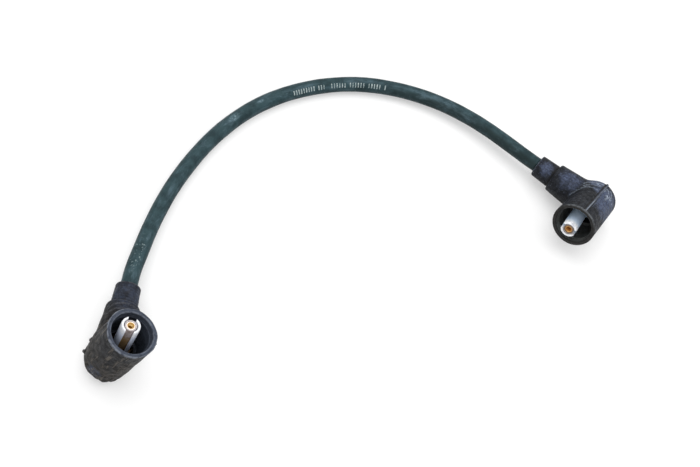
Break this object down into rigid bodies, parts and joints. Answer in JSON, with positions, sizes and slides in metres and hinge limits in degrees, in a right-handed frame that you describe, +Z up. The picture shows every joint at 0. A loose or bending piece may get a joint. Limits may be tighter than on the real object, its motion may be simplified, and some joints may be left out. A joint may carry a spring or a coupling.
{
  "type": "spark plug wire",
  "caption": "Short bowed ignition lead with a right-angled rubber boot and a slotted plated contact on each end.",
  "frame": {"origin": "bottom centre of the box round the two connectors, without the free cable, on the surface that the lead lies on", "axes": "+X runs from the left boot to the right boot, +Z is up, and the cable bows towards +Y"},
  "size_m": [0.2536, 0.1189, 0.0346],
  "materials": {
    "boot_rubber": "matt moulded rubber with dusty blue-grey bloom",
    "jacket_rubber": "dark blue-green satin rubber with pale scuffs",
    "plated_metal": "satin nickel or tin plating",
    "brass": "bright machined brass",
    "copper_strands": "bare copper"
  },
  "bodies": {
    "root": {"boot_left": "boot_rubber", "boot_right": "boot_rubber", "cable": "jacket_rubber", "cable_end_left": "jacket_rubber", "cable_end_right": "jacket_rubber", "conductor_left": "copper_strands", "conductor_right": "copper_strands", "crimp_ferrule_left": "plated_metal", "crimp_ferrule_right": "plated_metal", "terminal_body_left": "brass", "terminal_body_right": "brass", "contact_sleeve_left": "plated_metal", "contact_sleeve_right": "plated_metal", "contact_tube_left": "plated_metal", "contact_tube_right": "plated_metal", "contact_lining_left": "brass", "contact_lining_right": "brass", "contact_screw_left": "brass", "contact_screw_right": "brass"}
  },
  "joints": []
}
